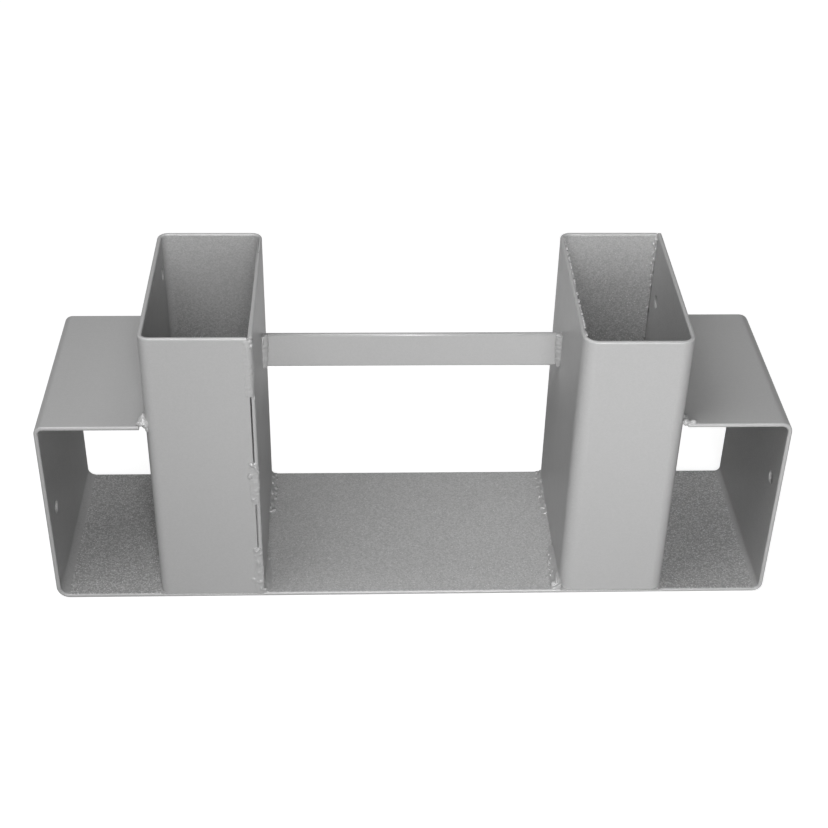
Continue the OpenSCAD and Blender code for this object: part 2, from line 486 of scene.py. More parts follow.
def holes_on(node: str) -> list[tuple[Vector, float]]:
    """Screw holes that the record places on a node, as centres and radii."""
    low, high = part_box(node)
    found = []
    for mount in frame["record"]["mounts"]:
        at = Vector(mount["pos_m"])
        inside = all(low[i] <= at[i] <= high[i] for i in range(3))
        if mount["kind"] == "bore" and inside:
            found.append((at, mount["dims"]["r_mm"] * MM))
    return found


@dataclass
class BaseStrip(SheetPiece):
    """The long strip: base plate, end walls and the two tabs that close the sleeves."""

    radii: tuple[float, float, float, float] = (4.0 * MM, 6.2 * MM, 4.8 * MM, 5.2 * MM)
    burnt: float = 1.5 * MM
    burnt_run: float = 4.5 * MM
    wall_sand: float = 0.3
    bay_sand: float = 1.0
    sleeve_sand: float = 2.6

    def build(self) -> Object:
        """Fold, punch and finish the strip."""
        s = self.sizes
        side = [(-s.tab_end, s.tab_z), (-s.half_l, s.tab_z), (-s.half_l, 0.0),
                (s.half_l, 0.0), (s.half_l, s.tab_z), (s.tab_end, s.tab_z)]
        chain = [Vector((x, -s.half_d, z)) for x, z in side]
        bm = self.fold(chain, Vector((0.0, 2.0 * s.half_d, 0.0)), list(self.radii))
        self.holes = holes_on("base_strip")
        for at, radius in self.holes:
            self.punch(bm, at, radius)
        self.thicken(bm)
        for x in (-s.outer_x, -s.bay_x, s.bay_x, s.outer_x):
            split(bm, x * ACROSS, ACROSS)
        self.burn_tab(bm)
        self.ease(bm)
        return self.show(bm, "strip_sheet", "base_strip")

    def burn_tab(self, bm: BMesh) -> None:
        """Burn the front corner of the left tab back, where its tack starts."""
        s = self.sizes
        front = self.burnt_run - s.half_d
        for y in (front, front + s.sheet):
            tab = [f for f in bm.faces if min(v.co.z for v in f.verts) > s.tab_z - s.sheet - self.near
                   and f.calc_center_median().x < 0.0]
            parts = {g for f in tab for g in (f, *f.edges, *f.verts)}
            bmesh.ops.bisect_plane(bm, geom=list(parts), plane_co=y * BACK, plane_no=BACK)
        for vert in bm.verts:
            at = vert.co
            on_end = at.z > s.tab_z / 2 and abs(at.x + s.tab_end) < self.near
            if on_end and at.y < front + self.near:
                vert.co.x -= self.burnt

    def is_rim(self, edge: BMEdge) -> bool:
        """Front and back edges, but square on the plate's top under the uprights."""
        s = self.sizes
        place = middle(edge)
        covered = s.bay_x < abs(place.x) < s.outer_x and abs(place.z - s.sheet) < self.near
        long_edge = all(abs(v.co.y) > s.half_d - self.near for v in edge.verts)
        return long_edge and not covered

    def is_end(self, edge: BMEdge) -> bool:
        """Ends of the tabs."""
        s = self.sizes
        place = middle(edge)
        return abs(place.x) < s.tab_end + self.burnt + self.near and place.z > s.tab_z - 2.0 * s.sheet

    def sand(self, at: Vector) -> float:
        """The plate's top, more in the sleeves, and a little on the end walls and tabs inside."""
        s = self.sizes
        between = s.sheet - self.near < at.z < s.tab_z - s.sheet + self.near
        if not between or abs(at.x) > s.half_l - s.sheet + self.near:
            return 0.0
        if at.z > s.sheet + self.near:
            return self.wall_sand
        return self.bay_sand if abs(at.x) < s.outer_x - self.near else self.sleeve_sand


@dataclass
class Upright(SheetPiece):
    """A folded tube with one open seam, standing on the plate."""

    side: Side = Side.LEFT
    radii: dict[Side, tuple[float, float, float]] = field(default_factory=lambda: {
        Side.LEFT: (5.0, 5.0, 5.0), Side.RIGHT: (6.0, 7.0, 5.0)})
    slits: dict[Side, float] = field(default_factory=lambda: {
        Side.LEFT: 0.22 * MM, Side.RIGHT: 0.03 * MM})
    melted: float = 1.95 * MM
    side_sand: float = 0.35
    back_sand: float = 0.6
    deep_sand: float = 3.4
    burrs: int = 120
    crumbs: int = 36
    # Lone grains on the left upright, in millimetres: each one's place and radius
    grains: tuple[tuple[tuple[float, float, float], float], ...] = (
        ((-72.0, 27.9, 145.9), 0.5), ((-73.3, 7.1, 131.2), 0.45), ((-73.3, 31.0, 137.0), 0.3))

    @property
    def node(self) -> str:
        """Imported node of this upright."""
        return f"{self.side.word}_upright"

    def chain(self) -> list[Vector]:
        """Outer face in plan, from the slit round to the edge of the seam wall."""
        s = self.sizes
        low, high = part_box(self.node)
        seam_y = self.side.value * s.half_d
        slit_x = high.x - s.sheet - self.slits[self.side]
        plan = [(slit_x, seam_y), (low.x, seam_y), (low.x, -seam_y), (high.x, -seam_y),
                (high.x, seam_y)]
        if self.side is Side.RIGHT:
            plan.reverse()
        return [Vector((x, y, s.sheet)) for x, y in plan]

    def build(self) -> Object:
        """Fold, punch, saw and finish the upright."""
        s = self.sizes
        bm = self.fold(self.chain(), (s.rim_z - s.sheet) * UP, [r * MM for r in self.radii[self.side]])
        self.holes = holes_on(self.node)
        for at, radius in self.holes:
            self.punch(bm, at, radius)
        self.thicken(bm)
        if self.side is Side.RIGHT:
            self.saw(bm)
        else:
            self.melt_corner(bm)
        self.ease(bm)
        self.strew(bm)
        return self.show(bm, f"{self.node}_sheet", self.node)

    def melt_corner(self, bm: BMesh) -> None:
        """Round the seam's corner where the top stitch has melted it down."""
        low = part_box(f"{self.side.word}_seam_weld_top")[0]
        split(bm, low.z * UP, UP)
        melted = [e for e in bm.edges
                  if self.is_corner(e) and all(v.co.z > low.z - self.near for v in e.verts)]
        round_edges(bm, melted, self.melted, self.edge_steps, profile=0.25)

    def strew(self, bm: BMesh) -> None:
        """Add what the saw and the torch left: a ragged burr on one rim, and single grains."""
        s = self.sizes
        low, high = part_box(self.node)
        chance = random.Random(17 + self.side.value)
        if self.side is Side.RIGHT:
            spots = [(Vector((low.x + s.sheet, chance.uniform(-0.88, 0.9) * s.half_d, 0.0)),
                      chance.uniform(0.2, 0.6) * MM) for _ in range(self.burrs)]
        else:
            spots = [(Vector((chance.uniform(low.x + 3.0 * s.sheet, high.x - 2.0 * s.sheet),
                              s.half_d - 0.5 * s.sheet, 0.0)), chance.uniform(0.12, 0.3) * MM)
                     for _ in range(self.crumbs)]
        for at, radius in spots:
            at.z = self.rim_at(at.y) - chance.uniform(0.1, 0.7) * MM
            self.add_grain(bm, at, radius, chance.uniform(0.7, 1.6))
        for at, radius in self.grains:
            self.add_grain(bm, Vector(at) * MM, radius * MM, 1.0)

    def rim_at(self, y: float) -> float:
        """Height of the rim at a depth."""
        s = self.sizes
        fall = s.saw_drop if self.side is Side.RIGHT else 0.0
        return s.rim_z - fall * (s.half_d - y) / (2.0 * s.half_d)

    @staticmethod
    def add_grain(bm: BMesh, at: Vector, radius: float, stretch: float) -> None:
        """Add a grain that sits half in the sheet, stretched along the rim."""
        size = Matrix.Diagonal((radius, radius * stretch, radius, 1.0))
        bmesh.ops.create_icosphere(bm, subdivisions=2, radius=1.0, matrix=Matrix.Translation(at) @ size)

    def saw(self, bm: BMesh) -> None:
        """Lower the rim towards the front, as the saw cut it."""
        s = self.sizes
        slope = s.saw_drop / (2.0 * s.half_d)
        lean = Matrix.Identity(4)
        lean[2][1] = slope
        lean[2][3] = -slope * s.half_d
        rim = [v for v in bm.verts if v.co.z > s.rim_z - self.near]
        bmesh.ops.transform(bm, matrix=lean, verts=rim)

    def is_corner(self, edge: BMEdge) -> bool:
        """The outer edge of the seam wall."""
        wall_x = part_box(self.node)[1].x - self.near
        seam_y = self.sizes.half_d - self.near
        return all(v.co.x > wall_x and v.co.y * self.side.value > seam_y for v in edge.verts)

    def is_rim(self, edge: BMEdge) -> bool:
        """The sawn rim, and the outer edge of the seam wall."""
        lowest = self.sizes.rim_z - self.sizes.saw_drop - self.near
        return self.is_corner(edge) or all(v.co.z > lowest for v in edge.verts)

    def is_end(self, edge: BMEdge) -> bool:
        """The edges of the seam, and the foot beside the bay, but not the foot elsewhere."""
        face_x = self.side.value * self.sizes.bay_x
        beside_bay = all(abs(v.co.x - face_x) < self.near for v in edge.verts)
        return beside_bay or any(v.co.z > self.sizes.sheet + self.near for v in edge.verts)

    def sand(self, at: Vector) -> float:
        """A little inside the tube, more on its back wall, and most down there."""
        s = self.sizes
        low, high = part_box(self.node)
        across = low.x + s.sheet - self.near < at.x < high.x - s.sheet + self.near
        if not across or abs(at.y) > s.half_d - s.sheet + self.near:
            return 0.0
        if at.y < s.half_d - s.sheet - self.near:
            return self.side_sand
        return self.back_sand if at.z > s.rim_z / 2 else self.deep_sand


@dataclass
class CrossBar:
    """The flat bar on edge between the uprights."""

    coat: Material
    edge_r: float = 1.0 * MM
    edge_steps: int = 6

    def build(self) -> Object:
        """Shape the bar from a block with rounded long edges."""
        low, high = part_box("cross_bar")
        place = Matrix.LocRotScale((low + high) / 2, None, high - low)
        bm = bmesh.new()
        bmesh.ops.create_cube(bm, size=1.0, matrix=place)
        half_run = (high.x - low.x) / 2
        long_edges = [e for e in bm.edges if abs(e.verts[0].co.x - e.verts[1].co.x) > half_run]
        round_edges(bm, long_edges, self.edge_r, self.edge_steps)
        piece = finish_piece(bm, "flat_bar", "cross_bar", self.coat, Slot.SHEET)
        keep_flat(piece)
        return piece


@dataclass(frozen=True)
class Drop:
    """A frozen drop of weld metal, in millimetres from the start of its bead.

    `along`, `aside` and `out` place its middle, `reach` holds its half sizes in the same order, and
    `turn` swings it in degrees about the way out.
    """

    along: float
    aside: float
    out: float
    reach: tuple[float, float, float]
    turn: float = 0.0


@dataclass(frozen=True)
class Cut:
    """A plane that a bead ends at: what lies beyond it, along `away`, is taken off."""

    at: Vector
    away: Vector


def fillet_section(foot: float, rise: float, hollow: float = 0.7, toe: float = 0.0,
                   sink: float = 0.5, steps: int = 8) -> list[Pair]:
    """Cross section of a fillet, from one toe over its hollow face to the other.

    Args:
        foot: Leg along the first sheet, in millimetres.
        rise: Leg up the second sheet.
        hollow: 0 for a flat face, 1 for one that runs out smoothly into both sheets.
        toe: Height of the step at the first toe.
        sink: How deep the toes and the root reach into the sheets.
        steps: Count of points on the face.

    Returns:
        Pairs of offsets aside and out.
    """
    face = []
    for i in range(steps + 1):
        t = i / steps
        arc = (1.0 - math.sin(t * math.pi / 2), 1.0 - math.cos(t * math.pi / 2))
        face.append((foot * ((1.0 - hollow) * (1.0 - t) + hollow * arc[0]),
                     toe * (1.0 - t) + rise * ((1.0 - hollow) * t + hollow * arc[1])))
    return [(-sink, -sink), (foot, -sink), *face, (-sink, rise)]


def ridge_section(half: float, height: float, root: float, over: float = 0.35,
                  sink: float = 0.6) -> list[Pair]:
    """Cross section of a ridge on the front of a corner, with a root that fills the slit under it.

    Args:
        half: Half the width of the ridge, in millimetres.
        height: Height over the face.
        root: Depth of the root under the face.
        over: How far the ridge laps over the corner's side.
        sink: Depth of the ridge's other side under the face.

    Returns:
        Pairs of offsets aside and out, the corner's side on the positive one.
    """
    narrow = half / 4
    return [(narrow, -1.8), (half, -1.8), (half + over, -0.9), (half + over, -0.3),
            (0.85 * half, 0.7 * height), (0.4 * half, height), (-0.1 * half, height),
            (-0.6 * half, 0.6 * height), (-half, 0.0), (-half, -sink), (-narrow, -sink),
            (-narrow, -root), (narrow, -root)]


def melted_section(corner: float, radius: float, half: float, height: float,
                   root: float) -> list[Pair]:
    """Cross section of a stitch that runs round a corner that it has melted down.

    Args:
        corner: Where the sheet's corner would be, aside, in millimetres.
        radius: Radius to which the corner is melted.
        half: Half the width of the stitch on the face.
        height: Height over the face and the corner.
        root: Depth of the root under the face.

    Returns:
        Pairs of offsets aside and out, the corner's side on the positive one.
    """
    narrow, reach = half / 4, radius + height
    turn = [math.radians(15 * i) for i in range(7)]
    arc = [(corner - radius + reach * math.cos(a), reach * math.sin(a) - radius) for a in turn]
    return [(narrow, -radius), *arc, (-0.5 * half, 0.7 * height), (-half, 0.0), (-half, -0.6),
            (-narrow, -0.6), (-narrow, -root), (narrow, -root)]


def uneven(base: list[float], seed: int, spread: float, steps: int = 16) -> list[float]:
    """Stretch a few girths over a bead and make them uneven.

    Args:
        base: Girths at even distances, as shares of the section.
        seed: Seed of the unevenness.
        spread: Largest difference, as a share.
        steps: Count of stations.

    Returns:
        The girth at each station.
    """
    chance = random.Random(seed)
    girths = []
    for i in range(steps + 1):
        place = (len(base) - 1) * i / steps
        first = min(int(place), len(base) - 2)
        share = place - first
        level = base[first] * (1.0 - share) + base[first + 1] * share
        girths.append(level * (1.0 + chance.uniform(-spread, spread)))
    return girths


@dataclass
class Bead:
    """A weld bead: a drawn run and single drops, melted into one skin and trimmed at its sheets."""

    node: str
    coat: Material
    start: Vector
    end: Vector
    aside: Vector
    out: Vector
    section: list[Pair]
    girths: list[float]
    drops: list[Drop]
    cuts: list[Cut]
    voxel: float = 0.2 * MM
    melt: int = 3
    skin_size: float = 1.2 * MM
    skin_depth: float = 0.14 * MM

    @property
    def along(self) -> Vector:
        """Unit vector from the start to the end."""
        return (self.end - self.start).normalized()

    def build(self) -> Object:
        """Melt the metal together, roughen the skin and trim it."""
        bm = bmesh.new()
        self.draw_run(bm)
        for drop in self.drops:
            self.add_drop(bm, drop)
        self.fuse(bm)
        for _ in range(self.melt):
            bmesh.ops.smooth_vert(bm, verts=bm.verts[:], factor=0.5, use_axis_x=True, use_axis_y=True,
                                  use_axis_z=True)
        bm.normal_update()
        moves = [v.normal * self.skin_depth * self.skin(v.co) for v in bm.verts]
        for vert, move in zip(bm.verts, moves):
            vert.co += move
        for cut in self.cuts:
            self.trim(bm, cut)
        return finish_piece(bm, f"{self.node}_bead", self.node, self.coat, Slot.WELD)

    def skin(self, at: Vector) -> float:
        """Height of the rough skin at a place, about -1 to 1."""
        return noise.noise(at / self.skin_size) + 0.5 * noise.noise(at / (0.4 * self.skin_size))

    def draw_run(self, bm: BMesh) -> None:
        """Draw the section along the bead, swelling and shrinking from station to station."""
        first = self.girths[0] * MM
        corners = [bm.verts.new(self.start + first * (a * self.aside + o * self.out))
                   for a, o in self.section]
        face = bm.faces.new(corners)
        step = (self.end - self.start) / (len(self.girths) - 1)
        here = self.start.copy()
        for before, after in zip(self.girths, self.girths[1:]):
            drawn = bmesh.ops.extrude_face_region(bm, geom=[face])["geom"]
            face = next(g for g in drawn if isinstance(g, BMFace))
            here += step
            bmesh.ops.translate(bm, verts=face.verts[:], vec=step)
            bmesh.ops.scale(bm, verts=face.verts[:], vec=Vector.Fill(3, after / before),
                            space=Matrix.Translation(-here))

    def add_drop(self, bm: BMesh, drop: Drop) -> None:
        """Add one drop, an ellipsoid in the bead's own directions."""
        base = Matrix((self.along, self.aside, self.out)).transposed().to_4x4()
        at = self.start + MM * (drop.along * self.along + drop.aside * self.aside + drop.out * self.out)
        turn = Matrix.Rotation(math.radians(drop.turn), 4, "Z")
        size = Matrix.Diagonal((*drop.reach, 1.0 / MM)) * MM
        bmesh.ops.create_icosphere(bm, subdivisions=3, radius=1.0,
                                   matrix=Matrix.Translation(at) @ base @ turn @ size)

    def fuse(self, bm: BMesh) -> None:
        """Replace overlapping shapes by one closed skin round all of them."""
        mesh = bpy.data.meshes.new("melt")
        bm.to_mesh(mesh)
        melt = bpy.data.objects.new("melt", mesh)
        bpy.context.scene.collection.objects.link(melt)
        skin = melt.modifiers.new("skin", "REMESH")
        skin.mode = "VOXEL"
        skin.voxel_size = self.voxel
        shaped = melt.evaluated_get(bpy.context.evaluated_depsgraph_get())
        bm.clear()
        bm.from_mesh(shaped.to_mesh())
        shaped.to_mesh_clear()
        bpy.data.objects.remove(melt)
        bpy.data.meshes.remove(mesh)

    @staticmethod
    def trim(bm: BMesh, cut: Cut) -> None:
        """Take off what lies beyond a plane and close the opening."""
        bmesh.ops.bisect_plane(bm, geom=bm.verts[:] + bm.edges[:] + bm.faces[:], dist=1e-7,
                               plane_co=cut.at, plane_no=cut.away, clear_outer=True)
        bmesh.ops.holes_fill(bm, edges=[e for e in bm.edges if e.is_boundary])


@dataclass
class SeamBeads:
    """The three stitches along the open seam of an upright, lapped round its corner."""

    side: Side
    sizes: Sizes
    coat: Material
    half: float = 2.2
    lap: float = 0.15
    height: float = 0.4
    melts: dict[str, int] = field(default_factory=lambda: {"top": 5, "middle": 6, "foot": 5})
    drops: dict[str, list[Drop]] = field(default_factory=lambda: {
        "top": [Drop(0.6, 1.2, -0.75, (1.1, 1.2, 1.0)), Drop(2.8, 1.8, -1.2, (1.3, 0.8, 1.4)),
                Drop(6.5, -0.9, -0.75, (2.0, 1.1, 1.0)), Drop(13.0, -1.1, -0.75, (2.6, 1.0, 1.0)),
                Drop(19.5, -1.0, -0.75, (2.2, 1.0, 1.0)), Drop(27.0, -1.0, -0.75, (2.6, 1.1, 1.0))],
        "middle": [Drop(1.0, -0.5, 0.1, (1.7, 1.1, 1.2), 35.0),
                   Drop(3.4, 1.5, -0.1, (2.9, 0.8, 1.1), 22.0),
                   Drop(7.6, -1.6, -0.3, (2.0, 1.3, 1.1), -15.0),
                   Drop(11.5, 0.6, -0.7, (2.8, 1.7, 1.3)), Drop(16.5, 0.3, -0.75, (3.2, 1.8, 1.3)),
                   Drop(20.9, -0.6, -0.4, (1.5, 1.4, 1.0), -25.0)],
        "foot": [Drop(1.0, -0.3, 0.25, (1.0, 2.1, 1.6), 35.0), Drop(3.5, 1.6, 0.0, (0.9, 0.7, 0.9)),
                 Drop(4.8, -1.3, -0.2, (0.9, 0.7, 0.8), 30.0), Drop(9.2, 0.2, -0.3, (3.0, 1.1, 1.3)),
                 Drop(15.0, 0.4, -0.45, (3.0, 1.4, 1.2)),
                 Drop(19.8, -2.0, -0.7, (2.0, 2.4, 1.1), -28.0),
                 Drop(20.8, 0.7, -0.2, (1.5, 1.3, 1.2)),
                 Drop(23.4, -1.0, -0.6, (1.2, 1.6, 1.0), -35.0),
                 Drop(25.0, 0.9, -0.1, (0.9, 0.8, 0.9)), Drop(26.0, 2.9, -0.5, (0.7, 0.9, 0.8))],
    })
    roots: list[Drop] = field(default_factory=lambda: [
        Drop(1.8, -0.2, -2.0, (1.0, 1.0, 0.9)), Drop(4.4, -0.9, -1.9, (1.4, 0.9, 1.1), 15.0),
        Drop(6.8, 0.0, -2.1, (1.3, 0.7, 1.0)), Drop(9.6, -1.0, -1.9, (1.7, 0.8, 1.0), -12.0),
        Drop(13.0, -0.3, -2.1, (1.3, 0.9, 0.9)), Drop(15.4, -1.1, -1.9, (1.2, 0.7, 0.9)),
        Drop(18.4, -0.2, -2.1, (2.0, 0.7, 0.8)), Drop(22.6, -0.6, -2.0, (1.8, 0.8, 0.8)),
        Drop(27.5, -0.2, -2.0, (1.4, 0.6, 0.7)), Drop(40.6, -0.4, -2.1, (1.8, 0.8, 0.9)),
        Drop(44.4, -0.1, -2.0, (0.8, 0.6, 0.7)), Drop(57.0, 0.0, -2.0, (1.0, 0.6, 0.7)),
    ])

    def build(self) -> list[Object]:
        """Lay the top, middle and foot stitches."""
        return [self.stitch(part, i).build() for i, part in enumerate(self.drops)]

    def stitch(self, part: str, index: int) -> Bead:
        """Describe one stitch.

        Args:
            part: Which stitch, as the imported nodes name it.
            index: Its number, for the seed.

        Returns:
            The bead, not yet built.
        """
        node = f"{self.side.word}_seam_weld_{part}"
        low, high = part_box(node)
        face_y = self.side.value * self.sizes.half_d
        line_x = high.x - (self.half + self.lap) * MM
        out = self.side.value * BACK
        bare = part == "top" and self.side is Side.RIGHT
        depth = self.sizes.sheet + (0.9 * MM if bare else 0.05 * MM)
        cuts = [Cut(face_y * BACK - depth * out, -out)]
        if part == "foot":
            cuts.append(Cut(self.sizes.sheet * UP, -UP))
        section = ridge_section(self.half, self.height, root=2.0 if bare else 2.4)
        if part == "top" and self.side is Side.LEFT:
            section = melted_section(self.half + self.lap, 2.6, self.half, 0.3, root=2.4)
        return Bead(
            node, self.coat,
            start=Vector((line_x, face_y, high.z)),
            end=Vector((line_x, face_y, low.z)),
            aside=ACROSS, out=out,
            section=section,
            girths=uneven([0.9, 1.0, 1.0, 1.0, 0.8], 11 + index + 7 * self.side.value, 0.06),
            drops=self.drops[part] + (self.roots if bare else []), cuts=cuts, melt=self.melts[part],
        )


@dataclass
class FilletBeads:
    """Fillets on the bay side of an upright's foot, and at its end of the bar."""

    side: Side
    sizes: Sizes
    coat: Material
    sink: float = 0.6 * MM
    lumps: int = 18
    spatter: int = 26

    def build(self) -> list[Object]:
        """Lay the two foot fillets and the bar's fillet."""
        return [bead.build() for bead in (self.front(), self.back(), self.bar())]

    @property
    def wall_x(self) -> float:
        """X of the upright's bay face."""
        return self.side.value * self.sizes.bay_x

    @property
    def into_bay(self) -> Vector:
        """Unit vector from the upright's bay face into the bay."""
        return -self.side.value * ACROSS

    @property
    def wall_cut(self) -> Cut:
        """Where a bead ends inside the upright's wall."""
        return Cut(self.wall_x * ACROSS - self.sink * self.into_bay, -self.into_bay)

    def foot(self, node: str, section: list[Pair], girths: list[float],
             drops: list[Drop], spread: float) -> Bead:
        """Describe a fillet between the wall and the plate, laid from back to front.

        Args:
            node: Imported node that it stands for.
            section: Its cross section.
            girths: Its girth from start to end.
            drops: Single drops on it.
            spread: How uneven its girth is.

        Returns:
            The bead, not yet built.
        """
        s = self.sizes
        low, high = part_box(node)
        cuts = [self.wall_cut, Cut((s.sheet - self.sink) * UP, -UP)]
        return Bead(
            node, self.coat,
            start=Vector((self.wall_x, high.y, s.sheet)),
            end=Vector((self.wall_x, low.y, s.sheet)),
            aside=self.into_bay, out=UP,
            section=section,
            girths=uneven(girths, 31 + len(drops) + self.side.value, spread),
            drops=drops, cuts=cuts,
        )

    def front(self) -> Bead:
        """The smooth hollow fillet at the front. The right one ends in a drawn-out drop."""
        node = f"{self.side.word}_base_weld_front"
        if self.side is Side.LEFT:
            drops = [Drop(1.0, 0.9, 0.2, (1.8, 0.9, 0.6))]
            girths = [0.4, 0.7, 0.9, 1.0, 1.0, 0.6]
            bead = self.foot(node, fillet_section(3.4, 3.0, 0.6), girths, drops, 0.04)
        else:
            drops = [Drop(0.9, 0.5, 0.4, (1.4, 0.9, 0.8)), Drop(26.0, 1.3, 2.4, (4.8, 0.9, 1.3), 5.0),
                     Drop(29.0, 2.8, 1.1, (2.0, 1.7, 1.3), 20.0)]
            chance = random.Random(3)
            drops += [Drop(chance.uniform(1.0, 24.0), chance.uniform(1.2, 4.2),
                           chance.uniform(0.2, 1.2), (0.5, 0.4, 0.5)) for _ in range(self.lumps)]
            girths = [0.5, 0.75, 0.9, 1.0, 1.1, 1.1]
            bead = self.foot(node, fillet_section(4.0, 3.2, 0.35, toe=0.3), girths, drops, 0.05)
        bead.melt = 4
        bead.skin_depth = 0.12 * MM
        return bead

    def back(self) -> Bead:
        """The rough fillet at the back, strewn with spatter and with a bright tip."""
        girths = [0.9, 1.15, 0.8, 1.05, 0.8, 1.0, 0.9]
        drops = [Drop(1.4, 1.6, 0.0, (1.7, 1.4, 0.8)), Drop(5.5, 2.3, -0.2, (1.4, 1.2, 0.7)),
                 Drop(9.0, 0.6, 0.9, (1.5, 0.7, 0.7)), Drop(12.5, 2.1, -0.2, (1.7, 1.3, 0.7)),
                 Drop(17.5, 0.7, 0.7, (1.8, 0.7, 0.7)), Drop(21.0, 2.2, -0.2, (1.6, 1.3, 0.7)),
                 Drop(26.0, 0.8, 0.4, (1.6, 0.7, 0.7)), Drop(31.6, 1.7, 0.2, (0.8, 1.8, 0.8), 28.0),
                 Drop(30.0, 0.5, 1.2, (1.5, 0.6, 0.9))]
        chance = random.Random(5 + self.side.value)
        for _ in range(self.spatter):
            r = chance.uniform(0.18, 0.3)
            drops.append(Drop(chance.uniform(2.0, 30.0), chance.uniform(2.4, 4.2), 0.0, (r, r, r)))
        node = f"{self.side.word}_base_weld_back"
        bead = self.foot(node, fillet_section(2.9, 1.9, 0.55), girths, drops, 0.2)
        bead.skin_depth = 0.15 * MM
        return bead

    def bar(self) -> Bead:
        """The raised run between the wall and the front of the bar, laid downwards."""
        node = f"{self.side.word}_bar_weld"
        low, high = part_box(node)
        face_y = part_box("cross_bar")[0].y
        front = -BACK
        section = [(-0.5, -0.5), (2.9, -0.5), (2.9, 0.4), (2.5, 1.3), (1.6, 1.9), (0.7, 2.2), (-0.5, 2.3)]
        cuts = [self.wall_cut, Cut(face_y * BACK - self.sink * front, -front)]
        drops = [Drop(0.6, 1.7, 0.4, (1.0, 1.3, 1.1)), Drop(2.8, 0.3, 1.9, (2.2, 0.5, 0.9)),
                 Drop(9.0, 1.9, 0.6, (2.4, 0.8, 0.8)), Drop(16.8, 0.8, 0.8, (0.8, 0.9, 0.9))]
        return Bead(
            node, self.coat,
            start=Vector((self.wall_x, face_y, high.z)),
            end=Vector((self.wall_x, face_y, low.z)),
            aside=self.into_bay, out=front,
            section=section,
            girths=uneven([1.0, 1.05, 0.95, 0.9, 0.7], 51 + self.side.value, 0.06),
            drops=drops, cuts=cuts, skin_depth=0.1 * MM,
        )


@dataclass
class TabTack:
    """The short tack between a tab and the corner of its upright, thickest at the front."""

    side: Side
    sizes: Sizes
    coat: Material
    sink: float = 1.7 * MM

    def build(self) -> Object:
        """Lay the tack from the front backwards."""
        s = self.sizes
        node = f"{self.side.word}_tab_weld"
        low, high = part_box(node)
        outward = self.side.value * ACROSS
        if self.side is Side.LEFT:
            drops = [Drop(-0.5, 1.1, 0.9, (1.8, 2.9, 1.4)), Drop(-0.3, -0.4, 0.1, (1.9, 2.0, 1.9)),
                     Drop(0.3, 0.9, 1.9, (1.8, 2.1, 2.0)), Drop(1.3, 0.7, 3.3, (1.6, 1.2, 1.8)),
                     Drop(5.0, 0.3, 0.8, (3.8, 1.4, 1.4)), Drop(-1.0, -1.0, -2.0, (1.2, 1.0, 1.5))]
        else:
            drops = [Drop(-0.6, 3.8, -0.1, (1.6, 1.7, 1.6)), Drop(-0.6, 0.4, -0.1, (1.6, 1.5, 1.7)),
                     Drop(-0.4, 2.1, -0.5, (1.5, 1.9, 1.1)), Drop(2.6, 0.3, 0.2, (2.6, 1.3, 1.2))]
        cuts = [Cut((s.outer_x - self.sink) * outward, -outward)]
        return Bead(
            node, self.coat,
            start=Vector((self.side.value * s.outer_x, low.y, s.tab_z)),
            end=Vector((self.side.value * s.outer_x, high.y, s.tab_z)),
            aside=outward, out=UP,
            section=fillet_section(1.6, 0.6, 0.1, 1.2),
            girths=uneven([1.2, 1.0, 0.6, 0.4], 71 + self.side.value, 0.1, 8),
            drops=drops, cuts=cuts,
        ).build()


@dataclass(frozen=True)
class Lamp:
    """A soft box: a rectangle of even light that faces a point."""

    name: str
    at: Vector
    aim: Vector
    size: Pair
    power: float
    spread: float = math.pi

    def build(self) -> Object:
        """Place the lamp."""
        light = bpy.data.lights.new(self.name, "AREA")
        light.shape = "RECTANGLE"
        light.size, light.size_y = self.size
        light.energy = self.power
        light.spread = self.spread
        lamp = bpy.data.objects.new(self.name, light)
        lamp.location = self.at
        lamp.rotation_euler = (self.aim - self.at).to_track_quat("-Z", "Y").to_euler()
        lamp.visible_camera = False
        bpy.context.scene.collection.objects.link(lamp)
        return lamp


